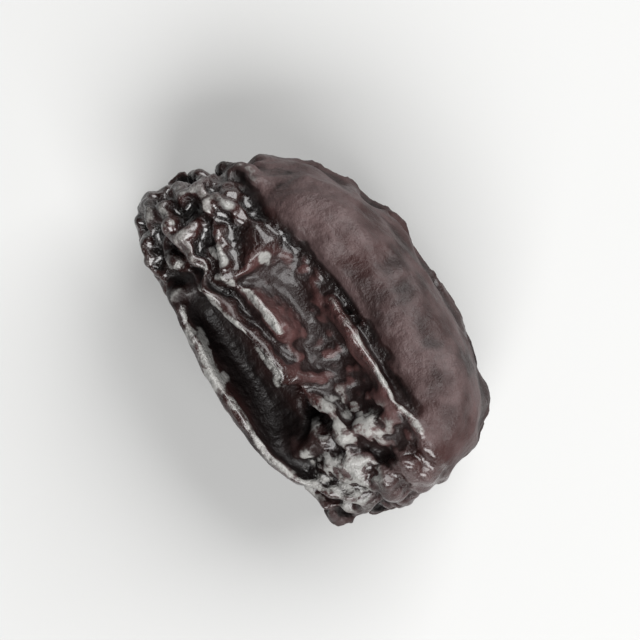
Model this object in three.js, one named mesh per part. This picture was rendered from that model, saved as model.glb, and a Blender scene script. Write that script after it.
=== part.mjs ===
// A pitted, dried sweet cherry, lying on its side: a leathery skin that is larger than the flesh under it.
// Drying shrank the flesh and left the skin to fold, so the shape is found the same way. A ball of fresh skin
// is laid over the flesh and its slack is let out step by step: it buckles into ridges, sags into the hollows
// of the flesh, stops where two folds meet, and lies flat on the table.
// Millimetres, +Z up, X along the stem axis, origin on the table under the middle of the fruit.
import * as THREE from "three";
import { mergeVertices } from "three/addons/utils/BufferGeometryUtils.js";

// The dried fruit, over its folds.
const LENGTH = 19; // along X, stem end at -X
const WIDTH = 12; // along Y, the plump roll at +Y and the pinched rim at -Y
const HEIGHT = 10.2; // along Z, as it lies

// The fresh skin, before drying: its radius sets how much of it there is to fold.
const FRESH_RADIUS = 9.3;
const MOST_SLACK = 0.62; // of the length that fits the flesh, where the skin folds up most tightly

// The flesh under the skin, a rounded barrel about the origin. The folds stand on it and make up the rest.
const FLESH_LENGTH = 17;
const FLESH_WIDTH = 9.9;
const FLESH_HEIGHT = 9.4;
const BARREL_ROLL = 2.5; // how square the plan outline is on the roll side: 2 is an ellipse
const BARREL_RIM = 5.4; // and on the rim side, which runs nearly straight
const SECTION_ROLL = 2.9; // how square the cross-section is on the roll side
const SECTION_RIM = 2.1; // and on the rim side
const ROUND_UNDER = 2.2; // how square outline and cross-section are underneath
const STEM_SLANT = 0.32; // mm that the stem end leans back for each mm towards the roll
const BLOSSOM_SLANT = 0.03; // mm that the blossom end reaches out for each mm towards the roll
const TABLE = -4.45; // the table under the flesh, which is pressed flat on it

// The main folds, each a line drawn as seen from one side of the fruit, in mm on the dried fruit. There the
// skin rises over the flesh by rise, or sinks into it where that is negative, falling off over halfWidth.
const TOP = { axes: ["x", "y"], depth: "z", side: 1 };
const STEM_END = { axes: ["y", "z"], depth: "x", side: -1 };
const ROLL = {
  seen: TOP,
  line: [[-7.2, 1.6], [-4.5, 3], [-1, 3.7], [3, 3.6], [6.6, 2.8], [8.4, 0.4], [7.9, -2.6]],
  halfWidth: 1.9,
  rise: 1.3,
};
const ROLL_CREASE = {
  seen: TOP,
  line: [[-5.4, 0.3], [-2.2, 1.4], [1, 1.45], [3.6, 1.2], [7, 0.8]],
  halfWidth: 0.35,
  rise: -2,
};
const SADDLE = { seen: TOP, line: [[-5, -1.1], [0, -0.9], [5.5, -1.2]], halfWidth: 1.9, rise: -1.6 };
const THIN_RIDGE = {
  seen: TOP,
  line: [[-0.6, 0.3], [1.4, 0.6], [4.1, 0.4], [6.6, 0.2]],
  halfWidth: 0.35,
  rise: 1.1,
};
const SHORT_RIDGE = {
  seen: TOP,
  line: [[-3.8, -2.2], [-2.1, -2], [-0.2, -1.8]],
  halfWidth: 0.35,
  rise: 1.3,
};
const LONG_RIDGE = {
  seen: TOP,
  line: [[-5, -4.1], [-2.7, -3.1], [-0.6, -2.7], [2, -3.1]],
  halfWidth: 0.4,
  rise: 1.5,
};
const RIM_HOLLOW = { seen: TOP, line: [[-4.8, -4.7], [-0.5, -4.4], [4.6, -4.4]], halfWidth: 1, rise: -2 };
const RIM = {
  seen: TOP,
  line: [[-6.4, -5.2], [-1.5, -5.6], [2, -5.7], [6.8, -5.4]],
  halfWidth: 0.5,
  rise: 1.3,
};
const STEM_DIMPLE = {
  seen: STEM_END,
  line: [[-2.1, 0.6], [-1.5, 0.4], [-0.9, 0.2]],
  halfWidth: 1.3,
  rise: -0.9,
};
const FOLDS = [ROLL, ROLL_CREASE, SADDLE, THIN_RIDGE, SHORT_RIDGE, LONG_RIDGE, RIM_HOLLOW, RIM, STEM_DIMPLE];
const FOLD_TAPER = 0.2; // share of a fold's length over which it rises from nothing at each end
const CRISP_WIDTH = 1; // mm: a ridge narrower than this comes to a crest

// The roll is plump and stays smooth: its skin lacks this share of the slack, out to this reach.
const ROLL_FULLNESS = 0.85;
const ROLL_REACH = 2.3;
const TABLE_REACH = 0.8; // mm over the table up to which the skin has little slack

// How readily the skin folds, as the share of each misfit that one step takes away. Flesh resists a crease
// that presses into it more than it holds back a ridge that lifts off.
const STRETCH_HOLD = 0.5;
const BEND_HOLD = 0.1;
const END_BEND_HOLD = 0.07; // at the puckered ends
const FLESH_HOLD = 0.12;
const LIFTED_HOLD = 0.004;
const SUCTION = 0.004; // mm a step, inward, on skin that has lifted off
const SLIDE_HOLD = 0.002; // along the flesh
const DRYING_STEPS = 1200;
const SETTLING_SHARE = 0.3; // share of the steps, at the end, that let out no more skin
const MOMENTUM = 0.5;
const UNEVENNESS = 0.06; // mm, so that the skin has somewhere to start folding
const SEED = 24;

// Where two folds meet, their corners stay apart by this much, in mm, so the skin never crosses itself.
const TOUCH_GAP = 0.38;
const TOUCH_RANGE = 0.8; // corners this close are watched until the next look round
const NEAR_ON_SKIN = 0.9; // corners this close along the fresh skin are of one fold
const LOOK_ROUND_EVERY = 10; // steps

const SKIN_DETAIL = 22; // each face of an icosahedron is cut into (SKIN_DETAIL + 1) squared triangles
const TOP_BIAS = 0.15; // how much closer together the skin's corners lie on the top side
const LINE_POINTS = 60;

// A repeatable random number from 0 to 1.
function randomFrom(seed) {
  let state = seed;
  return () => {
    state = (state * 1664525 + 1013904223) % 4294967296;
    return state / 4294967296;
  };
}

function cornersOf(geometry) {
  const corners = geometry.attributes.position;
  return Array.from({ length: corners.count }, (_, i) => new THREE.Vector3().fromBufferAttribute(corners, i));
}

function setCorners(geometry, numbers) {
  return geometry.setAttribute("position", new THREE.BufferAttribute(Float32Array.from(numbers), 3));
}

// A ball of radius 1 in small, nearly equal triangles with shared corners.
function skinBall() {
  const icosphere = new THREE.IcosahedronGeometry(1, SKIN_DETAIL);
  icosphere.deleteAttribute("normal");
  icosphere.deleteAttribute("uv");
  const ball = mergeVertices(icosphere, 1e-5);
  const up = new THREE.Vector3(0, 0, TOP_BIAS);
  return setCorners(ball, cornersOf(ball).flatMap((corner) => corner.add(up).normalize().toArray()));
}

// Each corner's outward direction, as one flat list.
function normalsOf(ball, corners) {
  const shape = setCorners(new THREE.BufferGeometry().setIndex(ball.index), corners);
  shape.computeVertexNormals();
  return shape.attributes.normal.array;
}

// Where the flesh's surface lies in a direction from its middle.
function fleshPoint(direction) {
  const towardsRoll = (direction.y + 1) / 2;
  const { lerp } = THREE.MathUtils;
  const under = Math.min(1, 1.5 * Math.max(0, -direction.z));
  const barrel = lerp(lerp(BARREL_RIM, BARREL_ROLL, towardsRoll), ROUND_UNDER, under);
  const section = lerp(lerp(SECTION_RIM, SECTION_ROLL, towardsRoll), ROUND_UNDER, under);
  const across = (Math.abs(direction.y) ** section + Math.abs(direction.z) ** section) ** (1 / section);
  const reach = 0.5 / (Math.abs(direction.x) ** barrel + across ** barrel) ** (1 / barrel);
  const size = new THREE.Vector3(FLESH_LENGTH, FLESH_WIDTH, FLESH_HEIGHT);
  const point = size.multiply(direction).multiplyScalar(reach);
  const slant = point.x < 0 ? STEM_SLANT : BLOSSOM_SLANT;
  point.x += slant * point.y * Math.min(1, Math.abs(point.x) / (LENGTH / 4));
  point.z = Math.max(point.z, TABLE);
  return point;
}

// A fold's line as points on the flesh.
function foldLine({ seen, line }, flesh) {
  const shrink = { x: FLESH_LENGTH / LENGTH, y: FLESH_WIDTH / WIDTH, z: FLESH_HEIGHT / HEIGHT };
  const [across, up] = seen.axes;
  const onThisSide = flesh.filter((point) => point[seen.depth] * seen.side > 0);
  const knots = line.map(([a, b]) => {
    const away = (point) => Math.hypot(point[across] - a * shrink[across], point[up] - b * shrink[up]);
    return onThisSide.reduce((best, point) => (away(point) < away(best) ? point : best));
  });
  return new THREE.CatmullRomCurve3(knots).getPoints(LINE_POINTS);
}

// How far a point lies from a fold's line, and where along the line that is, from 0 to 1.
function fromLine(line, point) {
  const distances = line.map((p) => p.distanceTo(point));
  const away = Math.min(...distances);
  return { away, along: distances.indexOf(away) / LINE_POINTS };
}

// How far the skin's place lies over a point of the flesh, all folds together.
function riseAt(point, lines) {
  return FOLDS.reduce((total, { halfWidth, rise }, i) => {
    const { away, along } = fromLine(lines[i], point);
    const taper = Math.min(1, along / FOLD_TAPER, (1 - along) / FOLD_TAPER);
    const sharpness = rise > 0 && halfWidth < CRISP_WIDTH ? 1.3 : 2;
    return total + rise * Math.sqrt(taper) * Math.exp(-((away / halfWidth) ** sharpness));
  }, 0);
}

// The places that the skin is drawn to: the flesh with its folds, down to the table.
function foldedFlesh(ball, flesh, lines) {
  const bare = flesh.flatMap((point) => point.toArray());
  const normals = normalsOf(ball, bare);
  const rises = flesh.map((point) => riseAt(point, lines));
  const folded = Float64Array.from(bare, (value, i) => value + normals[i] * rises[Math.floor(i / 3)]);
  for (let i = 2; i < folded.length; i += 3) folded[i] = Math.max(folded[i], TABLE);
  return folded;
}

// From 0, where the skin fits the flesh and stays smooth, to 1, where it is as large as when it was fresh.
function slackAt(point, rollLine) {
  const onRoll = Math.exp(-((fromLine(rollLine, point).away / ROLL_REACH) ** 4));
  const onTable = Math.exp(-(((point.z - TABLE) / TABLE_REACH) ** 2));
  return (1 - ROLL_FULLNESS * onRoll) * (1 - onTable);
}

function bendHoldAt(point) {
  return THREE.MathUtils.lerp(BEND_HOLD, END_BEND_HOLD, Math.abs(point.x) / (FLESH_LENGTH / 2));
}

function gapBetween(points, a, b) {
  return Math.hypot(points[a] - points[b], points[a + 1] - points[b + 1], points[a + 2] - points[b + 2]);
}

// Pairs of corners: the two of each edge, and the two across it, which stay apart as far as the skin is flat.
function cornerPairs(ball) {
  const triangles = ball.index.array;
  const count = ball.attributes.position.count;
  const acrossEdge = new Map();
  for (let t = 0; t < triangles.length; t += 3) {
    for (let k = 0; k < 3; k++) {
      const [a, b, c] = [0, 1, 2].map((turn) => triangles[t + ((k + turn) % 3)]);
      const edge = Math.min(a, b) * count + Math.max(a, b);
      acrossEdge.set(edge, [...(acrossEdge.get(edge) ?? []), c]);
    }
  }
  return [...acrossEdge].flatMap(([edge, [c, d]]) => [
    { a: Math.floor(edge / count), b: edge % count, bends: false },
    { a: c, b: d, bends: true },
  ]);
}

// The skin's links, from their lengths when dried on to the flesh to those of the slack skin. They hold offsets
// into the flat lists of coordinates.
function skinLinks(ball, flesh, folded, fresh, rollLine) {
  return cornerPairs(ball).map(({ a, b, bends }) => {
    const fitted = gapBetween(folded, 3 * a, 3 * b);
    const spare = Math.max(0, gapBetween(fresh, 3 * a, 3 * b) - fitted);
    const slack = Math.min(MOST_SLACK * fitted, spare) * slackAt(flesh[a], rollLine);
    return { a: 3 * a, b: 3 * b, fitted, slack, hold: bends ? bendHoldAt(flesh[a]) : STRETCH_HOLD };
  });
}

// Pairs of corners of different folds that have come close, found by sorting the corners into cells.
function meetingPairs(skin, fresh) {
  const cells = new Map();
  const cellKey = (x, y, z) => (x + 50) * 10000 + (y + 50) * 100 + z + 50;
  const pairs = [];
  for (let a = 0; a < skin.length; a += 3) {
    const [x, y, z] = [0, 1, 2].map((k) => Math.floor(skin[a + k] / TOUCH_RANGE));
    for (let near = 0; near < 27; near++) {
      const [dx, dy, dz] = [(near % 3) - 1, (Math.floor(near / 3) % 3) - 1, Math.floor(near / 9) - 1];
      for (const b of cells.get(cellKey(x + dx, y + dy, z + dz)) ?? []) {
        const close = gapBetween(skin, a, b) < TOUCH_RANGE;
        if (close && gapBetween(fresh, a, b) > NEAR_ON_SKIN) pairs.push({ a, b });
      }
    }
    const key = cellKey(x, y, z);
    if (!cells.has(key)) cells.set(key, []);
    cells.get(key).push(a);
  }
  return pairs;
}

// Moves two corners by the same share of the way between them: together, or apart where it is negative.
function pull(skin, a, b, share) {
  for (let k = 0; k < 3; k++) {
    const way = share * (skin[b + k] - skin[a + k]);
    skin[a + k] += way;
    skin[b + k] -= way;
  }
}

// Draws each corner towards its place on the flesh, and keeps it over the table.
function settle(skin, folded, normals) {
  for (let i = 0; i < skin.length; i += 3) {
    const [x, y, z] = [folded[i] - skin[i], folded[i + 1] - skin[i + 1], folded[i + 2] - skin[i + 2]];
    const sunk = x * normals[i] + y * normals[i + 1] + z * normals[i + 2];
    const hold = sunk > 0 ? FLESH_HOLD : LIFTED_HOLD + SUCTION / Math.max(0.2, -sunk);
    const back = (hold - SLIDE_HOLD) * sunk;
    skin[i] += back * normals[i] + SLIDE_HOLD * x;
    skin[i + 1] += back * normals[i + 1] + SLIDE_HOLD * y;
    skin[i + 2] += back * normals[i + 2] + SLIDE_HOLD * z;
    skin[i + 2] = Math.max(skin[i + 2], TABLE);
  }
}

// The dried skin's corners, as one flat list.
function driedSkin(ball) {
  const directions = cornersOf(ball);
  const flesh = directions.map(fleshPoint);
  const lines = FOLDS.map((fold) => foldLine(fold, flesh));
  const folded = foldedFlesh(ball, flesh, lines);
  const normals = normalsOf(ball, folded);
  const fresh = directions.flatMap((direction) => direction.toArray().map((value) => value * FRESH_RADIUS));
  const links = skinLinks(ball, flesh, folded, fresh, lines[0]);
  const random = randomFrom(SEED);
  const lifts = directions.map(() => (random() - 0.5) * UNEVENNESS);
  const skin = folded.map((value, i) => value + normals[i] * lifts[Math.floor(i / 3)]);
  const before = skin.slice();
  let meeting = [];
  for (let step = 0; step < DRYING_STEPS; step++) {
    const dryness = Math.min(1, (step + 1) / (DRYING_STEPS * (1 - SETTLING_SHARE)));
    for (let i = 0; i < skin.length; i++) {
      const here = skin[i];
      skin[i] += MOMENTUM * (here - before[i]);
      before[i] = here;
    }
    for (const { a, b, fitted, slack, hold } of links) {
      pull(skin, a, b, hold * (1 - (fitted + slack * dryness) / gapBetween(skin, a, b)));
    }
    if (step % LOOK_ROUND_EVERY === 0) meeting = meetingPairs(skin, fresh);
    for (const { a, b } of meeting) {
      const apart = gapBetween(skin, a, b);
      if (apart < TOUCH_GAP) pull(skin, a, b, 0.5 * (1 - TOUCH_GAP / apart));
    }
    settle(skin, folded, normals);
  }
  return skin;
}

// Scales the dried fruit to its exact size, which it has within a few hundredths, and stands it on the table.
function fitToSize(geometry) {
  geometry.computeBoundingBox();
  const { min, max } = geometry.boundingBox;
  geometry.translate(-(min.x + max.x) / 2, -(min.y + max.y) / 2, -min.z);
  geometry.scale(LENGTH / (max.x - min.x), WIDTH / (max.y - min.y), HEIGHT / (max.z - min.z));
  geometry.computeVertexNormals();
  return geometry;
}

const ball = skinBall();
const skinColour = new THREE.MeshStandardMaterial({ color: 0x2a1718, roughness: 0.3, metalness: 0 });
const cherry = new THREE.Mesh(fitToSize(setCorners(ball, driedSkin(ball))), skinColour);
cherry.name = "cherry";
const group = new THREE.Group();
group.add(cherry);
export default group;
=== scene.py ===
# A pitted, dried sweet cherry on a pale table, seen from straight above, its stem end towards the upper left.
import bpy
import numpy as np
from mathutils import Matrix, Vector


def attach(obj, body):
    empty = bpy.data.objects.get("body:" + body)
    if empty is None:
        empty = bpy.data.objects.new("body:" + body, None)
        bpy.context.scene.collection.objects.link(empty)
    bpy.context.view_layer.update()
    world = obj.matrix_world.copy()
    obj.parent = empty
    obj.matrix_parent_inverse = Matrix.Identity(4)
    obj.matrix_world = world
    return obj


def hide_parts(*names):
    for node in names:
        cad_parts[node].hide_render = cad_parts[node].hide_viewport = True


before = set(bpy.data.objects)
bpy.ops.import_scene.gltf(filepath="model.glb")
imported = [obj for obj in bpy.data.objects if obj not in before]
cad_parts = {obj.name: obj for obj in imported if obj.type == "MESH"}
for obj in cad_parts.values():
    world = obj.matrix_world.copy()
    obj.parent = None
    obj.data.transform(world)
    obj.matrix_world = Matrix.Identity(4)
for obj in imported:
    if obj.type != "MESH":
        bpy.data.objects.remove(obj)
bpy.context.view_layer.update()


# The table: a sheet of pale, dull paper that the fruit lies on, far wider than the fruit, so that no edge of
# it shows from any side.
TABLE_WIDTH = 2.0
TABLE_COLOUR = (0.24, 0.24, 0.237, 1.0)
TABLE_DULLNESS = 0.6

bpy.ops.object.select_all(action="DESELECT")
bpy.ops.mesh.primitive_plane_add(size=TABLE_WIDTH, location=(0, 0, 0))
table = bpy.context.object
table.name = "table"
table_paper = bpy.data.materials.new("pale table")
table_paper.use_nodes = True
paper = table_paper.node_tree.nodes["Principled BSDF"]
paper.inputs["Base Color"].default_value = TABLE_COLOUR
paper.inputs["Roughness"].default_value = TABLE_DULLNESS
table.data.materials.append(table_paper)


# The camera looks straight down, turned so that the fruit lies in the picture as it does in the photograph:
# its stem axis runs from the upper left to the lower right.
PICTURE_UP = Vector((-0.826, 0.563, 0))
PICTURE_RIGHT = Vector((0.563, 0.826, 0))
CAMERA_HEIGHT = 0.172
CAMERA_LENS = 200
NEAREST_SEEN = 0.01
FURTHEST_SEEN = 10

bpy.ops.object.camera_add()
camera = bpy.context.object
camera.data.lens = CAMERA_LENS
camera.data.clip_start = NEAREST_SEEN
camera.data.clip_end = FURTHEST_SEEN
camera.matrix_world = Matrix.Translation((0, 0, CAMERA_HEIGHT)) @ Matrix(
    (PICTURE_RIGHT, PICTURE_UP, Vector((0, 0, 1)))
).transposed().to_4x4()
bpy.context.scene.camera = camera
bpy.context.scene.view_settings.view_transform = "Standard"


# The light: a soft box beyond the picture's upper right, which lights the plump roll, a window-like box
# beyond its lower edge, whose reflections run along the folds, and a dim pale room. Metres and watts.
ROLL_LIGHT_PLACE = Vector((0, 0, 0.36)) + PICTURE_RIGHT * 0.28 + PICTURE_UP * 0.28
ROLL_LIGHT_SIZE = (0.55, 0.45)
ROLL_LIGHT_POWER = 8.8
WINDOW_PLACE = Vector((0, 0, 0.42)) - PICTURE_UP * 0.38 + PICTURE_RIGHT * 0.06
WINDOW_SIZE = (0.55, 0.34)
WINDOW_POWER = 9.6
ROOM_COLOUR = (1.0, 1.0, 1.0, 1.0)
ROOM_BRIGHTNESS = 0.10


def soft_box(name, place, size, power):
    bpy.ops.object.light_add(type="AREA", location=place)
    lamp = bpy.context.object
    lamp.name = name
    lamp.data.shape = "RECTANGLE"
    lamp.data.size, lamp.data.size_y = size
    lamp.data.energy = power
    lamp.rotation_mode = "QUATERNION"
    lamp.rotation_quaternion = (-place).to_track_quat("-Z", "Y")


soft_box("roll light", ROLL_LIGHT_PLACE, ROLL_LIGHT_SIZE, ROLL_LIGHT_POWER)
soft_box("window", WINDOW_PLACE, WINDOW_SIZE, WINDOW_POWER)
room = bpy.data.worlds.new("pale room")
bpy.context.scene.world = room
room.use_nodes = True
room.node_tree.nodes["Background"].inputs["Color"].default_value = ROOM_COLOUR
room.node_tree.nodes["Background"].inputs["Strength"].default_value = ROOM_BRIGHTNESS


# The cherry: the whole fruit, pitted and dried, its flesh shrunk and its skin in leathery folds, tacky at the
# ends and dusty on the plump roll, whose grey dust is partly a painted sheen. The solid gives the large
# folds.
# Here its skin is remade in even squares, gets the narrow forms, and dries further in two turns, into soft
# wrinkles and then into fine ones.

# Lines over the skin, as (x, y) in mm seen from above: the roll and the crease beside it,
ROLL_EDGE = (
    (-9.5, -0.2), (-8.2, 0.0), (-5.5, 0.5), (-1.3, 1.4), (1.0, 1.5), (3.6, 1.25), (6.6, 0.8), (9.5, 0.7),
)
ROLL_INNER_EDGE = ((-1.6, 2.4), (0.3, 2.9))
ROLL_LIP = ((-2.3, 1.8), (-0.7, 1.95), (0.9, 1.9))
ROLL_DENTS = (
    ((-2.9, 4.6), (-2.4, 4.5)), ((-0.8, 4.3), (-0.4, 4.1)),
    ((0.9, 3.9), (1.2, 3.8)), ((2.4, 4.1), (3.6, 3.8)),
)
CREASE = ((-2.4, 1.3), (-1.0, 1.45), (1.0, 1.45), (2.4, 1.3))
CREASE_END = ((-5.4, 0.1), (-3.9, 0.4), (-2.6, 1.1))
CREASE_LOW = ((2.4, 1.3), (3.6, 1.2), (6.6, 0.8))
CREASE_FLOOR = ((1.2, 1.45), (3.0, 1.4), (5.2, 1.25))
RIDGE = ((-0.5, 0.95), (0.2, 0.93), (4.8, 0.88), (6.8, 0.95))

# the ruddy middle,
MIDDLE_LINE = ((-2.2, -0.7), (0.0, -0.6), (5.0, -0.2))
MIDDLE_GROOVE = ((-2.8, -0.7), (0.0, -0.4), (2.6, -0.5))
MIDDLE_SWIRL = ((-3.0, -0.6), (-1.4, -0.5))
MIDDLE_PIT = ((3.2, -0.3), (4.8, -0.2))
PALE_SPECK = ((-3.75, -0.5), (-3.6, -0.45))
PALE_BACK = ((3.9, -1.9), (5.2, -1.1))

# the two cords, the lip that the long one lies on, the hollow under it and the rim,
SHORT_CORD = ((-4.3, -2.75), (-3.7, -2.45), (-2.9, -2.0), (-1.6, -1.87), (-0.55, -1.87))
LONG_CORD = (
    (-4.3, -4.2), (-4.2, -3.8), (-3.5, -3.6), (-2.8, -3.65), (-1.9, -3.35), (-1.0, -3.3), (0.0, -3.05),
    (0.9, -2.95), (1.35, -3.35),
)
CORD_BLOB = ((1.1, -3.15), (1.4, -3.35))
CORD_GROOVE = ((-4.0, -3.0), (-2.9, -2.65), (-1.6, -2.5), (-0.5, -2.35), (0.8, -2.2))
LIP = (
    (-5.0, -2.9), (-4.0, -2.9), (-3.0, -3.2), (-2.0, -2.9), (-1.0, -2.7), (0.0, -2.4), (1.0, -2.5),
    (2.0, -2.6), (3.0, -2.4),
)
LIP_DRAWN = (
    (-5.0, -2.9), (-4.2, -3.6), (-3.0, -3.6), (-2.0, -3.35), (-1.0, -3.3), (0.0, -3.05), (1.0, -3.0),
    (1.4, -3.35), (2.0, -2.85), (3.0, -2.4),
)
HOLLOW_LINE = ((-4.0, -4.2), (-0.5, -4.2), (3.6, -4.3))
HOLLOW_BOTTOM = ((-3.2, -4.2), (-0.5, -4.15), (2.8, -4.25))
RIM_LINE = (
    (-4.0, -5.0), (-3.0, -5.2), (-2.0, -5.35), (-1.0, -5.5), (0.0, -5.55), (3.0, -5.55), (4.0, -5.5),
    (5.0, -5.25), (6.0, -4.8),
)
PALE_RIM = ((-2.4, -5.2), (-0.6, -5.4))
THIN_LINES = (LONG_CORD, SHORT_CORD, RIDGE, RIM_LINE)

# and the stem end and the far end.
STEM_PIT = ((-8.6, 0.4), (-8.2, 0.9))
STEM_NUB = ((-8.4, 1.9), (-7.6, 2.5))
STEM_VALLEY = ((-7.4, 0.5), (-5.8, 0.5), (-4.1, 0.75))
STEM_KNOBS = (
    ((-7.0, -0.6), (-6.8, -0.5)), ((-5.4, -2.3), (-4.8, -2.2)), ((-6.0, -4.1), (-5.8, -4.0)),
    ((-7.8, -3.4), (-7.6, -3.2)),
)
FAR_PIT = ((6.1, -1.35), (6.6, -1.2))
FAR_KNOBS = (((7.7, -1.9), (7.9, -1.8)), ((7.5, -0.6), (7.8, -0.45)))
PALE_END = ((6.1, -4.1), (6.9, -3.1))

# How far each part of the skin reaches: two values between which it fades in, in mm unless metres are named.
# A slope is 1 where the skin faces straight up, 0 where it faces sideways and -1 where it faces down.
TOP_SLOPE = (-0.8, -0.2)
UPPER_SLOPE = (-0.3, 0.3)
OPEN_SLOPE = (-0.1, 0.4)
TURNED_UNDER = -0.2
ROLL_PAST_EDGE, ROLL_ALONG = (0.0, 0.5), (-7.0, -5.2)
ROLL_SLANT, ROLL_SLANTS_FROM = 0.9, 0.5
HOLLOW_REACH = (1.6, 0.8)
STEM_ALONG, STEM_SLANT = (-4.0, -6.2), 0.25
FAR_ALONG = (3.0, 5.5)
FLANK_SLOPE, FLANK_METRES_UP = (0.6, 0.2), (0.0030, 0.0045)

# How the skin is evened out: corners this near, in metres, are one, how far one round of smoothing moves a
# corner towards its neighbours, and how many rounds follow each remaking of the skin.
SAME_PLACE = 1e-6
SMOOTHING_SHARE = 0.5
EVENED_SMOOTHING = 3

# Where the fruit is fuller than the solid: a line, how far from it the skin is smoothed, and how many times.
FULLER = (
    (CREASE_END, 1.0, 60), (STEM_PIT, 1.1, 60), (STEM_NUB, 0.9, 60), (MIDDLE_PIT, 1.1, 60), (CREASE, 0.7, 50),
    (CREASE_LOW, 0.55, 25), (ROLL_INNER_EDGE, 0.8, 30), (MIDDLE_GROOVE, 0.8, 40),
)
HOLLOW_ROUNDING = (HOLLOW_BOTTOM, 1.0, 12)
SWIRL_ROUNDING = (MIDDLE_SWIRL, 1.1, 25)

# Narrow forms: a line, how far the skin rises along it or, below 0, sinks, and half the form's width, in mm.
# On the lip the skin moves only above a height, so that the hollow's wall under it stays as it is.
HOLLOW_DEPTH = (HOLLOW_BOTTOM, -1.1, 0.8)
LIP_HEIGHT = 8.0
ANY_HEIGHT = -1.0
HEIGHT_FADE = 0.5
LIP_DRAWN_REACH, LIP_DRAWN_HEIGHT = 1.5, (7.4, 8.6)
FORMS_ON_LIP = (
    (CORD_GROOVE, -0.28, 0.26), (LONG_CORD, 0.25, 0.42), (CORD_BLOB, 0.40, 0.42), (SHORT_CORD, 0.45, 0.28),
)
KNOB_RISE, KNOB_HALF_WIDTH = 0.5, 0.4
DENT_RISE, DENT_HALF_WIDTH = -0.20, 0.45
NARROW_FORMS = (
    (RIDGE, 0.35, 0.25), (CREASE_FLOOR, 0.35, 0.30), (RIM_LINE, 0.35, 0.34), (ROLL_LIP, 0.20, 0.25),
    (FAR_PIT, -1.0, 0.42), (STEM_VALLEY, -0.35, 0.45),
) + tuple((knob, KNOB_RISE, KNOB_HALF_WIDTH) for knob in FAR_KNOBS + STEM_KNOBS)

# The roll stays smooth, and smoothest on its flank: the share from which the skin is taken as that part, and
# how many times the part is smoothed.
ON_ROLL, ROLL_SMOOTHING = 0.5, 12
ON_FLANK, FLANK_SMOOTHING = 0.3, 25
NUB_REACH, NUB_SMOOTHING = 1.1, 40

# Bumps under the skin in each part: their size and how high they stand, in mm, and where they are held back.
STEM_BUMPS = (0.9, 0.45)
FAR_BUMPS = (1.9, 0.8)
MIDDLE_BUMPS = (1.3, 0.25)
ROLL_BUMPS = (1.0, 0.28)
SIDE_BUMPS = (1.25, 0.65)
STEM_BUMPS_BELOW, STEM_BUMPS_ON_TOP = 0.4, 0.6
FLANK_BUMPS_TAKEN = 0.65
METRES_OFF_TABLE = (0.0005, 0.0020)
CLEAR_OF_RIM, BELOW_RIM = (0.4, 1.2), (5.8, 4.8)
LEAST_SHARE = 0.01

# The drying. Squares are the skin's, in mm, and half is half its thickness. Stretch, bend, press, lift and
# slide say how much of each misfit one step takes away. All over is the slack that the whole skin has, as a
# share of its length, and each part has so much more or less.
SOFT_WRINKLES = {
    "squares": 0.22, "half": 0.10, "steps": 260, "stretch": 0.5, "bend": 0.15, "press": 0.004, "lift": 0.002,
    "slide": 0.01, "seed": 3,
}
SOFT_SLACK = {
    "all over": 0.055, "side": 0.05, "stem": 0.14, "far": 0.09, "middle": 0.035, "roll": -0.041,
    "hollow": -0.02,
}
FINE_WRINKLES = {
    "squares": 0.12, "half": 0.03, "steps": 240, "stretch": 0.6, "bend": 0.03, "press": 0.006, "lift": 0.003,
    "slide": 0.01, "seed": 4,
}
FINE_SLACK = {"all over": 0.09, "stem": 0.01, "far": 0.02, "middle": -0.03}
SLACK_TAKEN = {"crest": 0.7, "roll": 0.97, "hollow": 0.3}  # shares of the fine slack that these parts lack
UNEVEN_START = 0.06  # mm, so that the skin has somewhere to start folding
MOMENTUM = 0.85
GROWING_SHARE = 0.6  # of the steps, in which the slack grows to its full length

# Where the slack is held back: within so many mm of the thin lines and of the middle's groove, and on the
# crests, by how far they rise above the skin smoothed so many times.
CLEAR_OF_THIN_LINES, BESIDE_THIN_LINES = (0.3, 0.9), (0.3, 0.6)
GROOVE_SLACK, CLEAR_OF_GROOVE = 0.5, (0.5, 1.2)
CREST_ROUNDS, CREST_RISE = 40, (-0.035, -0.10)

# Grey dust, partly a painted sheen: where it lies, where the skin is at least dull, and what takes it away or
# adds
# to it: painted shade in the dents and in the stem end's valley, a thinning along the roll, more on the far
# end's upper half and a painted highlight along the roll's lip. The folds are told apart by how many rounds
# of smoothing take them out.
WIDE_FOLDS, DENT_FOLDS, FINE_FOLDS = 160, 60, 12
DUST_AND_SHEEN_PAST_EDGE, DUST_AND_SHEEN_ALONG, DUST_AND_SHEEN_HEIGHT = (-0.1, 0.5), (-9.2, -7.2), (2.0, 7.5)
DULL_FLANK, DULL_FLANK_HEIGHT = 0.62, (0.0, 3.0)
# Painted shade: how much grey dust the dents lose, and the depths between which a dent fades in.
DENT_PAINTED_SHADE, DENT_DEPTH = 0.6, (-0.01, 0.03)
# How much the grey dust and sheen thin out along the roll, from where, and how much less so towards the far
# end.
DUST_AND_SHEEN_THINNED, THINNED_ALONG = 0.42, (-4.0, -1.0)
THINNED_LESS, THINNED_LESS_ALONG = 0.15, (2.0, 5.0)
# More grey dust, partly a painted sheen, on the far end's upper half.
FAR_DUST_AND_SHEEN, UPPER_HALF = 0.5, (3.0, 5.0)
# Painted shade on the listed dents of the roll, and how far it reaches.
DENT_SPOT_PAINTED_SHADE, DENT_SPOT_SHADE_REACH = 0.45, (0.75, 0.2)
# Painted highlight along the roll's lip, and how far it reaches.
LIP_PAINTED_HIGHLIGHT, LIP_PAINTED_HIGHLIGHT_REACH = 0.35, (0.35, 0.05)
# Painted shade in the stem end's valley, and how far it reaches.
STEM_VALLEY_PAINTED_SHADE, STEM_VALLEY_SHADE_REACH = 0.8, (0.8, 0.2)

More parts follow.
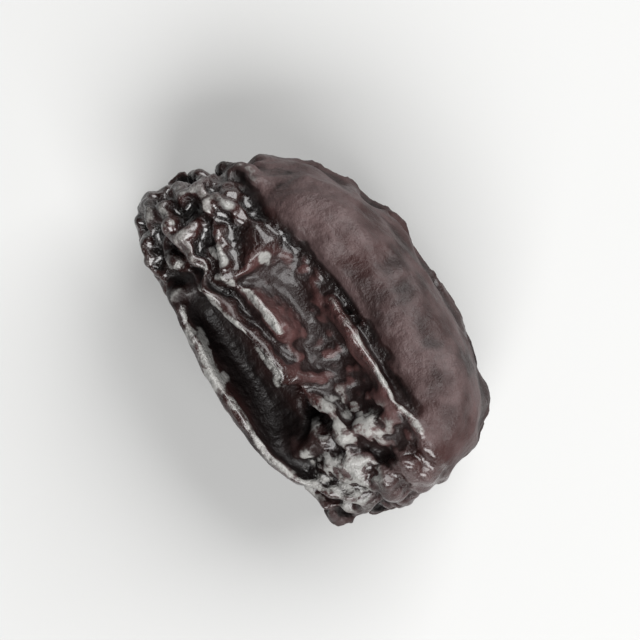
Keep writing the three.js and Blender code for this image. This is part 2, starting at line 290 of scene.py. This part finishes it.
# The ruddy middle and the tacky gloss: where they are, and how much of the gloss each drier place lacks.
RUDDY_REACH = (2.4, 1.4)
FACES_UP, STANDS_OUT = (0.0, 0.4), (0.08, -0.08)
THIN_LINE_WIDTH, THIN_LINE_HEIGHT = (0.15, 0.4), (5.5, 6.2)
LOW_SIDES = (7.0, 3.0)
WALL_REACH, WALL_HEIGHT = (2.0, 1.3), (8.4, 7.6)
DRY_RUDDY, DRY_HOLLOW, DRY_LOW, DRY_FAR = 0.8, 0.95, 0.75, 0.3

# Pale painted highlights on the skin: a line, how far from it the painted highlight starts, how far it is
# full, and how strong it is.
PAINTED_HIGHLIGHT_SPOTS = ((PALE_END, 2.1, 0.7, 1.2), (PALE_BACK, 1.9, 0.5, 1.0)) + tuple(
    (knob, 0.5, 0.1, 1.0) for knob in STEM_KNOBS + (PALE_SPECK,)
)
RIM_PAINTED_HIGHLIGHT = (PALE_RIM, 1.15, 0.3, 1.2)
# Painted highlights: the heights they lie at, their strength on the thin lines and the stem end's crests, and
# how much of them stays where the skin faces sideways or up.
RIM_PAINTED_HIGHLIGHT_HEIGHT, PAINTED_HIGHLIGHT_HEIGHT = (6.0, 6.8), (5.0, 6.0)
LONG_CORD_PAINTED_HIGHLIGHT, SHORT_CORD_PAINTED_HIGHLIGHT, RIM_LINE_PAINTED_HIGHLIGHT = 1.25, 1.0, 0.95
RIDGE_PAINTED_HIGHLIGHT, MORE_RIDGE_PAINTED_HIGHLIGHT, MORE_ALONG = 0.45, 0.5, (0.0, 4.0)
LINE_PAINTED_HIGHLIGHT_REACH = (0.38, 0.0)
STEM_CREST_PAINTED_HIGHLIGHT, STEM_CREST_RISE, STEM_CREST_SLOPE = 0.5, (-0.08, -0.35), (0.3, 0.8)
SIDEWAYS_PAINTED_HIGHLIGHT, UPWARD_PAINTED_HIGHLIGHT = 0.25, 0.75

# Colours, and patterns: marks in a metre, how finely they are broken up, and how rough that is.
DARK_CREST, LIGHT_CREST = (0.0062, 0.0027, 0.0024), (0.0150, 0.0048, 0.0042)
# Painted shade: the near-black that the valleys of the wide folds are coloured.
PAINTED_VALLEY_SHADE = (0.0030, 0.0019, 0.0018)
RUDDY_CREST, PINKER_CREST = (0.0220, 0.0098, 0.0093), (0.0350, 0.0150, 0.0143)
# Painted shade: the dark ruddy colour of the middle's fine crinkles.
RUDDY_PAINTED_SHADE = (0.0066, 0.0032, 0.0030)
# Grey dust, partly a painted sheen: the light colour of the roll and of the far end's upper half.
DUST_AND_SHEEN_COLOUR = (0.0465, 0.0300, 0.0295)
# Painted highlight: the pale grey-white that the highlights are coloured.
PAINTED_HIGHLIGHT_COLOUR = (0.1320, 0.1290, 0.1230)
PATCHES, DUST_AND_SHEEN_CLOUDS, RUDDY_SPOTS = (260.0, 3.0, 0.55), (600.0, 2.0, 0.5), (700.0, 3.0, 0.6)
CREASES, PAINTED_HIGHLIGHT_MARKS = (1100.0, 4.0, 0.6), (1100.0, 4.0, 0.65)
GRAINS, PORES = (2600.0, 3.0, 0.6), (11000.0, 2.0, 0.5)
GRAIN_DEPTH = 0.00008
PORE_DEPTH = 0.00002
SKIN_SHINE = 0.17
TACKY_ROUGHNESS = 0.16

# Ranges that the finish's values are brought from or to.
NONE_TO_FULL = (0.0, 1.0)
MOST_OF_PATTERN = (0.3, 0.7)
DUST_AND_SHEEN_UNEVEN, DULL_UNEVEN, GRAIN_UNEVEN = (-0.3, 0.3), (-0.15, 0.15), (-0.07, 0.07)
SHINY_TO_DULL, DRY_TO_TACKY = (0.25, 0.52), (0.21, 0.0)
TACKY_TO_DULL_COAT = (0.80, 0.02)

bpy.ops.object.select_all(action="DESELECT")
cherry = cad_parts["cherry"].copy()
cherry.data = cherry.data.copy()
cherry.name = "cherry_skin"
cherry.parent = None
bpy.context.scene.collection.objects.link(cherry)
cherry.select_set(True)
bpy.context.view_layer.objects.active = cherry
bpy.ops.object.mode_set(mode="EDIT")
bpy.ops.mesh.select_all(action="SELECT")
bpy.ops.mesh.remove_doubles(threshold=SAME_PLACE)
bpy.ops.object.mode_set(mode="OBJECT")


def corner_numbers(mesh, name):
    """Three numbers for each corner of the skin: its place in metres, or its normal."""
    numbers = np.empty(len(mesh.vertices) * 3)
    mesh.vertices.foreach_get(name, numbers)
    return numbers.reshape(-1, 3)


def corner_places(mesh):
    """Where each corner of the skin is, in mm."""
    return corner_numbers(mesh, "co") * 1000


def slope(mesh):
    """How far each corner's skin faces up: 1 straight up, 0 sideways, -1 straight down."""
    return corner_numbers(mesh, "normal")[:, 2]


def fade(values, none, full):
    """0 at one value and 1 at the other, with a soft change between them."""
    share = np.clip((values - none) / (full - none), 0, 1)
    return share * share * (3 - 2 * share)


def line_distance(places, line):
    """How far each place is, seen from above, from a line drawn over the skin."""
    nearest = np.full(len(places), np.inf)
    for start, end in zip(line[:-1], line[1:]):
        start, way = np.array(start), np.array(end) - np.array(start)
        along = np.clip((places[:, :2] - start) @ way / (way @ way), 0, 1)
        nearest = np.minimum(nearest, np.linalg.norm(places[:, :2] - start - along[:, None] * way, axis=1))
    return nearest


def thin_line_distance(places):
    """How far each place is from the nearest of the cords, the ridge and the rim line."""
    return np.min([line_distance(places, line) for line in THIN_LINES], axis=0)


def past_roll_edge(places):
    """How far each place lies on the roll's side of its edge."""
    return places[:, 1] - np.interp(places[:, 0], *np.array(ROLL_EDGE).T)


def roll_start(places):
    """How far along the fruit each place is, counted further the more it lies on the roll's side."""
    return places[:, 0] + ROLL_SLANT * np.maximum(places[:, 1] - ROLL_SLANTS_FROM, 0)


def skin_places(mesh):
    """A share from 0 to 1 for each corner: roll, hollow, stem end, far end and middle."""
    places = corner_places(mesh)
    top = fade(slope(mesh), *TOP_SLOPE)
    roll = top * fade(past_roll_edge(places), *ROLL_PAST_EDGE) * fade(roll_start(places), *ROLL_ALONG)
    hollow = fade(slope(mesh), *OPEN_SLOPE) * fade(line_distance(places, HOLLOW_LINE), *HOLLOW_REACH)
    stem = fade(places[:, 0] + STEM_SLANT * places[:, 1], *STEM_ALONG) * (1 - roll)
    far = fade(places[:, 0], *FAR_ALONG) * (1 - roll)
    middle = top * (1 - roll) * (1 - hollow) * (1 - stem) * (1 - far)
    return roll, hollow, stem, far, middle


def flank_share(mesh):
    """Which corners lie on the fruit's upper flank, where its outline is seen from above."""
    return fade(slope(mesh), *FLANK_SLOPE) * fade(corner_numbers(mesh, "co")[:, 2], *FLANK_METRES_UP)


def even_out(piece, size):
    """Remakes the skin from even squares of a size in mm, which also opens folds that touch."""
    piece.data.remesh_voxel_size = size / 1000
    piece.data.use_remesh_preserve_volume = True
    bpy.ops.object.voxel_remesh()
    bpy.ops.object.mode_set(mode="EDIT")
    bpy.ops.mesh.select_all(action="SELECT")
    bpy.ops.mesh.vertices_smooth(factor=SMOOTHING_SHARE, repeat=EVENED_SMOOTHING)
    bpy.ops.object.mode_set(mode="OBJECT")
    bpy.ops.object.shade_smooth()


def smooth_part(mesh, chosen, rounds):
    """Smooths the chosen corners of the skin so many times."""
    bpy.ops.object.mode_set(mode="EDIT")
    bpy.ops.mesh.select_mode(type="VERT")
    bpy.ops.mesh.select_all(action="DESELECT")
    bpy.ops.object.mode_set(mode="OBJECT")
    mesh.vertices.foreach_set("select", chosen)
    bpy.ops.object.mode_set(mode="EDIT")
    bpy.ops.mesh.vertices_smooth(factor=SMOOTHING_SHARE, repeat=rounds)
    bpy.ops.object.mode_set(mode="OBJECT")


def fill_near(mesh, line, reach, rounds):
    """Fills a fold near a line by smoothing the skin there."""
    near = line_distance(corner_places(mesh), line) < reach
    smooth_part(mesh, near & (slope(mesh) > TURNED_UNDER), rounds)


def raise_form(mesh, line, rise, half_width, above=ANY_HEIGHT):
    """Pinches the skin up, or presses it in, along a line where it lies above a height."""
    places = corner_numbers(mesh, "co")
    height = rise * np.exp(-((line_distance(places * 1000, line) / half_width) ** 2))
    height *= fade(places[:, 2] * 1000, above, above + HEIGHT_FADE)
    places[:, 2] += height * fade(slope(mesh), *OPEN_SLOPE) / 1000
    mesh.vertices.foreach_set("co", places.ravel())
    mesh.update()


def draw_out_lip(mesh):
    """Draws the lip over the hollow out sideways, until its edge lies where the long cord runs."""
    places = corner_places(mesh)
    edge = np.interp(places[:, 0], *np.array(LIP).T)
    share = fade(places[:, 1], edge + LIP_DRAWN_REACH, edge) * fade(places[:, 2], *LIP_DRAWN_HEIGHT)
    places[:, 1] += (np.interp(places[:, 0], *np.array(LIP_DRAWN).T) - edge) * share
    mesh.vertices.foreach_set("co", (places / 1000).ravel())
    mesh.update()


def push_out(piece, share, bumps):
    """Raises bumps of a size and height where the share says, by the pattern of a texture."""
    size, height = bumps
    group = piece.vertex_groups.new(name="share")
    for corner in np.flatnonzero(share > LEAST_SHARE):
        group.add([int(corner)], float(share[corner]), "REPLACE")
    pattern = bpy.data.textures.new("bumps", "CLOUDS")
    pattern.noise_scale = size / 1000
    bpy.ops.object.modifier_add(type="DISPLACE")
    displace = piece.modifiers[-1]
    displace.texture = pattern
    displace.texture_coords = "LOCAL"
    displace.vertex_group = group.name
    displace.strength = height / 1000
    bpy.ops.object.modifier_apply(modifier=displace.name)
    piece.vertex_groups.clear()


def skin_links(mesh):
    """The links that hold the skin: the edges of the mesh and both diagonals of each of its square faces."""
    ends = np.empty(len(mesh.edges) * 2, int)
    mesh.edges.foreach_get("vertices", ends)
    corners = np.empty(len(mesh.loops), int)
    mesh.loops.foreach_get("vertex_index", corners)
    squares = corners.reshape(-1, 4)
    return np.vstack([ends.reshape(-1, 2), squares[:, [0, 2]], squares[:, [1, 3]]]).T


def sum_at_corners(links, amounts, count):
    """Adds an amount for each link at its first end and takes it away at its second."""
    return np.bincount(links[0], amounts, count) - np.bincount(links[1], amounts, count)


def dry_further(mesh, wrinkles, slack):
    """Grows the skin against the flesh, which it can neither leave nor enter freely, so that it wrinkles."""
    half = wrinkles["half"]
    base = corner_places(mesh)
    normals = corner_numbers(mesh, "normal")
    base = base - normals * half
    links = skin_links(mesh)
    count = len(base)
    links_at = np.bincount(links.ravel(), minlength=count)
    start = np.linalg.norm(base[links[1]] - base[links[0]], axis=1)
    growth = slack[links].mean(axis=0)
    random = np.random.default_rng(wrinkles["seed"])
    uneven = random.random(count) - 0.5
    uneven += sum_at_corners(links, uneven[links[1]] - uneven[links[0]], count) / links_at
    skin = base + normals * uneven[:, None] * UNEVEN_START
    before = skin.copy()
    for step in range(wrinkles["steps"]):
        dryness = min(1.0, (step + 1) / (wrinkles["steps"] * GROWING_SHARE))
        moved = skin + MOMENTUM * (skin - before)
        before = skin
        way = moved[links[1]] - moved[links[0]]
        length = np.sqrt(np.einsum("ij,ij->i", way, way))
        pull = wrinkles["stretch"] * (1 - start * (1 + growth * dryness) / length)
        lifted = np.einsum("ij,ij->i", moved - base, normals)
        bent = sum_at_corners(links, lifted[links[1]] - lifted[links[0]], count) / links_at
        unbent = sum_at_corners(links, bent[links[1]] - bent[links[0]], count) / links_at
        hold = np.where(lifted > 0, wrinkles["lift"], wrinkles["press"]) - wrinkles["slide"]
        back = wrinkles["bend"] * unbent + hold * lifted
        away = wrinkles["slide"] * (moved - base)
        for axis in range(3):
            moved[:, axis] += sum_at_corners(links, pull * way[:, axis], count) / links_at
            moved[:, axis] -= back * normals[:, axis] + away[:, axis]
        moved[:, 2] = np.maximum(moved[:, 2], half)
        skin = moved
    mesh.vertices.foreach_set("co", (skin / 1000).ravel())
    mesh.update()
    skin = skin + corner_numbers(mesh, "normal") * half
    skin[:, 2] = np.maximum(skin[:, 2], 0)
    mesh.vertices.foreach_set("co", (skin / 1000).ravel())
    mesh.update()


def depth_below(mesh, rounds):
    """How far each corner lies below the skin smoothed so many times, in mm: more than 0 in a valley."""
    places = corner_places(mesh)
    links = skin_links(mesh)
    links_at = np.bincount(links.ravel(), minlength=len(places))
    smooth = places.copy()
    for turn in range(rounds):
        way = smooth[links[1]] - smooth[links[0]]
        pulled = np.stack([sum_at_corners(links, column, len(places)) for column in way.T], axis=1)
        smooth = smooth + pulled / links_at[:, None]
    return np.einsum("ij,ij->i", smooth - places, corner_numbers(mesh, "normal"))


def keep_numbers(mesh, name, values):
    """Keeps a number for each corner, which the skin's material reads by its name."""
    mesh.attributes.new(name, "FLOAT", "POINT").data.foreach_set("value", values.astype(np.float32))


# The forms that are too narrow for the solid, each pressed into the skin or pinched out of it.
even_out(cherry, SOFT_WRINKLES["squares"])
for fold in FULLER:
    fill_near(cherry.data, *fold)
raise_form(cherry.data, *HOLLOW_DEPTH)
fill_near(cherry.data, *HOLLOW_ROUNDING)
draw_out_lip(cherry.data)
for form in FORMS_ON_LIP:
    raise_form(cherry.data, *form, above=LIP_HEIGHT)
for form in NARROW_FORMS:
    raise_form(cherry.data, *form)
roll, hollow, stem, far, middle = skin_places(cherry.data)
smooth_part(cherry.data, roll > ON_ROLL, ROLL_SMOOTHING)
smooth_part(cherry.data, roll * flank_share(cherry.data) > ON_FLANK, FLANK_SMOOTHING)
smooth_part(cherry.data, line_distance(corner_places(cherry.data), STEM_NUB) < NUB_REACH, NUB_SMOOTHING)
for dent in ROLL_DENTS:
    raise_form(cherry.data, dent, DENT_RISE, DENT_HALF_WIDTH)

# The bumps: all round the stem end, on top of the other parts, and on the sides up to just below the rim.
upper = fade(slope(cherry.data), *UPPER_SLOPE)
push_out(cherry, stem * (STEM_BUMPS_BELOW + STEM_BUMPS_ON_TOP * upper), STEM_BUMPS)
push_out(cherry, far * upper, FAR_BUMPS)
push_out(cherry, middle, MIDDLE_BUMPS)
fill_near(cherry.data, *SWIRL_ROUNDING)
push_out(cherry, roll * (1 - FLANK_BUMPS_TAKEN * flank_share(cherry.data)), ROLL_BUMPS)
side = (1 - upper) * (1 - roll) * fade(corner_numbers(cherry.data, "co")[:, 2], *METRES_OFF_TABLE)
places = corner_places(cherry.data)
clear_of_rim = fade(line_distance(places, RIM_LINE), *CLEAR_OF_RIM)
side = side * np.maximum(clear_of_rim, fade(places[:, 2], *BELOW_RIM))
push_out(cherry, side, SIDE_BUMPS)

# The soft wrinkles, which leave the thin lines straight.
roll, hollow, stem, far, middle = skin_places(cherry.data)
side = (1 - fade(slope(cherry.data), *UPPER_SLOPE)) * (1 - roll)
slack = SOFT_SLACK["all over"] + SOFT_SLACK["side"] * side + SOFT_SLACK["stem"] * stem
slack = slack + SOFT_SLACK["far"] * far + SOFT_SLACK["middle"] * middle
slack = slack + SOFT_SLACK["roll"] * roll + SOFT_SLACK["hollow"] * hollow
places = corner_places(cherry.data)
slack = slack * fade(thin_line_distance(places), *CLEAR_OF_THIN_LINES)
clear_of_groove = fade(line_distance(places, MIDDLE_GROOVE), *CLEAR_OF_GROOVE)
slack = slack * (GROOVE_SLACK + (1 - GROOVE_SLACK) * clear_of_groove)
dry_further(cherry.data, SOFT_WRINKLES, slack)

# The fine wrinkles, which leave the crests of the soft ones and the roll nearly smooth.
even_out(cherry, FINE_WRINKLES["squares"])
roll, hollow, stem, far, middle = skin_places(cherry.data)
crest = fade(depth_below(cherry.data, CREST_ROUNDS), *CREST_RISE) * (1 - stem)
from_thin_line = thin_line_distance(corner_places(cherry.data))
crest = np.maximum(crest, 1 - fade(from_thin_line, *BESIDE_THIN_LINES))
slack = FINE_SLACK["all over"] + FINE_SLACK["stem"] * stem + FINE_SLACK["far"] * far
slack = slack + FINE_SLACK["middle"] * middle
slack = slack * (1 - SLACK_TAKEN["crest"] * crest) * (1 - SLACK_TAKEN["roll"] * roll)
slack = slack * (1 - SLACK_TAKEN["hollow"] * hollow)
dry_further(cherry.data, FINE_WRINKLES, slack)

# Numbers for the finish at each corner: how deep it lies among the wide folds and among the fine ones,
places = corner_places(cherry.data)
along, height = places[:, 0], places[:, 2]
valley = depth_below(cherry.data, WIDE_FOLDS)
keep_numbers(cherry.data, "valley", valley)
keep_numbers(cherry.data, "crinkle", depth_below(cherry.data, FINE_FOLDS))

# how dull it is and how much grey dust, partly a painted sheen, it has: most of all on the roll and least, as
# painted shade, in its dents and in the stem end's valley, with a painted highlight along the roll's lip,
on_roll = fade(past_roll_edge(places), *DUST_AND_SHEEN_PAST_EDGE) * fade(roll_start(places), *DUST_AND_SHEEN_ALONG)
# Grey dust, partly a painted sheen, fading in up the roll's side.
dust_and_sheen = on_roll * fade(height, *DUST_AND_SHEEN_HEIGHT)
dull_flank = DULL_FLANK * on_roll * fade(height, *DULL_FLANK_HEIGHT)
keep_numbers(cherry.data, "matt", np.maximum(dust_and_sheen, dull_flank))
dent = fade(depth_below(cherry.data, DENT_FOLDS), *DENT_DEPTH)
high = fade(height, *UPPER_HALF)
# The grey dust and sheen thin out from the roll's middle on, a little less so towards the far end.
thinned = DUST_AND_SHEEN_THINNED * fade(along, *THINNED_ALONG) * (1 - THINNED_LESS * fade(along, *THINNED_LESS_ALONG))
# Painted shade: the dents lose grey dust, on the roll and on the far end's dusty upper half, and so do the
# listed dents.
dust_and_sheen = dust_and_sheen * (1 - DENT_PAINTED_SHADE * dent) * (1 - thinned) + FAR_DUST_AND_SHEEN * far * high * (1 - dent)
for spot in ROLL_DENTS:
    dust_and_sheen *= 1 - DENT_SPOT_PAINTED_SHADE * fade(line_distance(places, spot), *DENT_SPOT_SHADE_REACH)
# Painted highlight along the roll's lip.
dust_and_sheen += LIP_PAINTED_HIGHLIGHT * fade(line_distance(places, ROLL_LIP), *LIP_PAINTED_HIGHLIGHT_REACH)
# Painted shade in the stem end's valley, as less grey dust.
dust_and_sheen *= 1 - STEM_VALLEY_PAINTED_SHADE * fade(line_distance(places, STEM_VALLEY), *STEM_VALLEY_SHADE_REACH)
keep_numbers(cherry.data, "dust_and_sheen", dust_and_sheen)

# how ruddy it is in the middle, and how tacky, least in the hollow, low on the sides and in the middle,
ruddy = high * fade(line_distance(places, MIDDLE_LINE), *RUDDY_REACH) * (1 - roll)
keep_numbers(cherry.data, "ruddy", ruddy)
faces_up = fade(slope(cherry.data), *FACES_UP)
stands_out = fade(valley, *STANDS_OUT)
on_thin_line = (1 - fade(from_thin_line, *THIN_LINE_WIDTH)) * fade(height, *THIN_LINE_HEIGHT)
on_thin_line = on_thin_line * faces_up * stands_out
low = fade(height, *LOW_SIDES)
wall = fade(line_distance(places, HOLLOW_LINE), *WALL_REACH) * fade(height, *WALL_HEIGHT)
tacky = 1 - DRY_RUDDY * ruddy - DRY_HOLLOW * np.maximum(hollow, wall)
tacky = tacky - DRY_LOW * low * (1 - stem) - DRY_FAR * far
keep_numbers(cherry.data, "gloss", np.maximum(tacky, on_thin_line))

# and how strong the pale painted highlights are, on spots, on the thin lines and on the stem end's crests.
line, starts, full, thickness = RIM_PAINTED_HIGHLIGHT
pale = thickness * fade(line_distance(places, line), starts, full) * fade(height, *RIM_PAINTED_HIGHLIGHT_HEIGHT)
for line, starts, full, thickness in PAINTED_HIGHLIGHT_SPOTS:
    pale = np.maximum(pale, thickness * fade(line_distance(places, line), starts, full))
ridge_highlight_share = RIDGE_PAINTED_HIGHLIGHT + MORE_RIDGE_PAINTED_HIGHLIGHT * fade(along, *MORE_ALONG)
line_highlight_strengths = (LONG_CORD_PAINTED_HIGHLIGHT, SHORT_CORD_PAINTED_HIGHLIGHT, ridge_highlight_share, RIM_LINE_PAINTED_HIGHLIGHT)
for line, thickness in zip(THIN_LINES, line_highlight_strengths):
    pale = np.maximum(pale, thickness * fade(line_distance(places, line), *LINE_PAINTED_HIGHLIGHT_REACH) * stands_out)
# Painted highlights on the stem end's crests that face up.
stem_crest = STEM_CREST_PAINTED_HIGHLIGHT * stem * fade(valley, *STEM_CREST_RISE) * fade(slope(cherry.data), *STEM_CREST_SLOPE)
pale = np.maximum(pale, stem_crest)
# Painted highlights only high on the fruit, and stronger where the skin faces up.
pale = pale * fade(height, *PAINTED_HIGHLIGHT_HEIGHT) * (SIDEWAYS_PAINTED_HIGHLIGHT + UPWARD_PAINTED_HIGHLIGHT * faces_up)
keep_numbers(cherry.data, "pale", pale)

skin_material = bpy.data.materials.new("dried skin")
skin_material.use_nodes = True
nodes, links = skin_material.node_tree.nodes, skin_material.node_tree.links
skin = nodes["Principled BSDF"]
skin.inputs["Specular IOR Level"].default_value = SKIN_SHINE
skin.inputs["Coat Roughness"].default_value = TACKY_ROUGHNESS


def number_of(name):
    """The number that was kept for each corner under this name."""
    node = nodes.new("ShaderNodeAttribute")
    node.attribute_name = name
    return node.outputs["Fac"]


def ranged(value, low, high, to_low, to_high):
    """A value brought from one range to another, with soft ends."""
    node = nodes.new("ShaderNodeMapRange")
    node.interpolation_type = "SMOOTHSTEP"
    links.new(value, node.inputs["Value"])
    for name, number in zip(("From Min", "From Max", "To Min", "To Max"), (low, high, to_low, to_high)):
        node.inputs[name].default_value = number
    return node.outputs["Result"]


def noise_at(scale, detail, roughness):
    """A cloudy pattern that lies in the fruit itself, from 0 to 1."""
    node = nodes.new("ShaderNodeTexNoise")
    node.inputs["Scale"].default_value = scale
    node.inputs["Detail"].default_value = detail
    node.inputs["Roughness"].default_value = roughness
    links.new(where.outputs["Object"], node.inputs["Vector"])
    return node.outputs["Fac"]


def worked(operation, first, second):
    """A sum, product or the like of two values, of which the second may be a plain number."""
    node = nodes.new("ShaderNodeMath")
    node.operation = operation
    for socket, value in zip(node.inputs, (first, second)):
        if isinstance(value, float):
            socket.default_value = value
        else:
            links.new(value, socket)
    return node.outputs["Value"]


def mixed(share, first, second):
    """The first colour where the share is 0 and the second where it is 1."""
    node = nodes.new("ShaderNodeMix")
    node.data_type = "RGBA"
    links.new(share, node.inputs["Factor"])
    for socket, value in zip((node.inputs[6], node.inputs[7]), (first, second)):
        if isinstance(value, tuple):
            socket.default_value = (*value, 1.0)
        else:
            links.new(value, socket)
    return node.outputs[2]


def bumped(height, depth, under=None):
    """Relief of a depth in metres, which may lie over finer relief."""
    node = nodes.new("ShaderNodeBump")
    node.inputs["Strength"].default_value = 1.0
    node.inputs["Distance"].default_value = depth
    links.new(height, node.inputs["Height"])
    if under:
        links.new(under, node.inputs["Normal"])
    return node.outputs["Normal"]


where = nodes.new("ShaderNodeTexCoord")
crinkle = number_of("crinkle")
gloss = number_of("gloss")
patches = noise_at(*PATCHES)
grain = noise_at(*GRAINS)
dust_and_sheen_clouds = noise_at(*DUST_AND_SHEEN_CLOUDS)
dust_and_sheen_amount = worked("ADD", number_of("dust_and_sheen"), ranged(dust_and_sheen_clouds, *MOST_OF_PATTERN, *DUST_AND_SHEEN_UNEVEN))
matt = worked("ADD", number_of("matt"), ranged(dust_and_sheen_clouds, *MOST_OF_PATTERN, *DULL_UNEVEN))

# Colour: near-black painted shade in the valleys, red-brown crests, a ruddier middle with painted shade in
# its crinkles, grey dust on the roll that is partly a painted sheen, and pale painted highlights.
crest_colour = mixed(ranged(patches, 0.35, 0.65, *NONE_TO_FULL), DARK_CREST, LIGHT_CREST)
# Painted shade: the deeper a place lies among the wide folds, the nearer to near-black it is coloured.
skin_colour = mixed(ranged(number_of("valley"), -0.20, 0.30, *NONE_TO_FULL), crest_colour, PAINTED_VALLEY_SHADE)
pinker = ranged(noise_at(*RUDDY_SPOTS), 0.40, 0.62, *NONE_TO_FULL)
ruddy_crest = mixed(pinker, RUDDY_CREST, PINKER_CREST)
# Painted shade: the deeper a place lies among the fine crinkles, the darker the middle is coloured.
ruddy_colour = mixed(ranged(crinkle, -0.03, 0.04, *NONE_TO_FULL), ruddy_crest, RUDDY_PAINTED_SHADE)
skin_colour = mixed(number_of("ruddy"), skin_colour, ruddy_colour)
# Grey dust, partly a painted sheen, broken up by the grain.
dust_and_sheen_share = worked("MULTIPLY", ranged(dust_and_sheen_amount, 0.15, 1.05, *NONE_TO_FULL), ranged(grain, 0.25, 0.75, 0.6, 0.95))
skin_colour = mixed(dust_and_sheen_share, skin_colour, DUST_AND_SHEEN_COLOUR)
# Painted highlights: pale grey-white, broken up by a pattern and kept out of the fine crinkles.
highlight_marks = ranged(noise_at(*PAINTED_HIGHLIGHT_MARKS), *MOST_OF_PATTERN, 0.1, 1.5)
highlight_amount = worked("MULTIPLY", number_of("pale"), highlight_marks)
highlight_amount = worked("SUBTRACT", highlight_amount, ranged(crinkle, -0.02, 0.03, 0.0, 0.6))
highlighted = ranged(highlight_amount, 0.20, 0.85, *NONE_TO_FULL)
skin_colour = mixed(highlighted, skin_colour, PAINTED_HIGHLIGHT_COLOUR)
links.new(skin_colour, skin.inputs["Base Color"])

# Finish: dull on the roll and where the skin isn't tacky, and a thin tacky coat in patches elsewhere.
dull = worked("ADD", ranged(grain, *MOST_OF_PATTERN, *GRAIN_UNEVEN), ranged(matt, 0.15, 0.95, *SHINY_TO_DULL))
dull = worked("ADD", dull, ranged(gloss, 0.1, 1.0, *DRY_TO_TACKY))
links.new(dull, skin.inputs["Roughness"])
sticky = ranged(matt, 0.15, 0.85, *TACKY_TO_DULL_COAT)
sticky = worked("MULTIPLY", sticky, ranged(patches, 0.35, 0.6, 0.5, 1.0))
sticky = worked("MULTIPLY", sticky, gloss)
sticky = worked("MULTIPLY", sticky, ranged(highlighted, *NONE_TO_FULL, 1.0, 0.35))
links.new(sticky, skin.inputs["Coat Weight"])

# Leathery relief: fine creases where a pattern turns, grain between them, and pores all over.
creases = worked("ABSOLUTE", worked("SUBTRACT", noise_at(*CREASES), 0.5), 0.0)
creases = worked("MULTIPLY", creases, ranged(matt, 0.15, 1.05, 6.0, 2.0))
creases = worked("MULTIPLY", creases, ranged(gloss, 0.0, 0.8, 0.25, 1.0))
pores = bumped(noise_at(*PORES), PORE_DEPTH)
links.new(bumped(worked("ADD", grain, creases), GRAIN_DEPTH, pores), skin.inputs["Normal"])
cherry.data.materials.clear()
cherry.data.materials.append(skin_material)
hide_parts("cherry")
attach(cherry, "root")
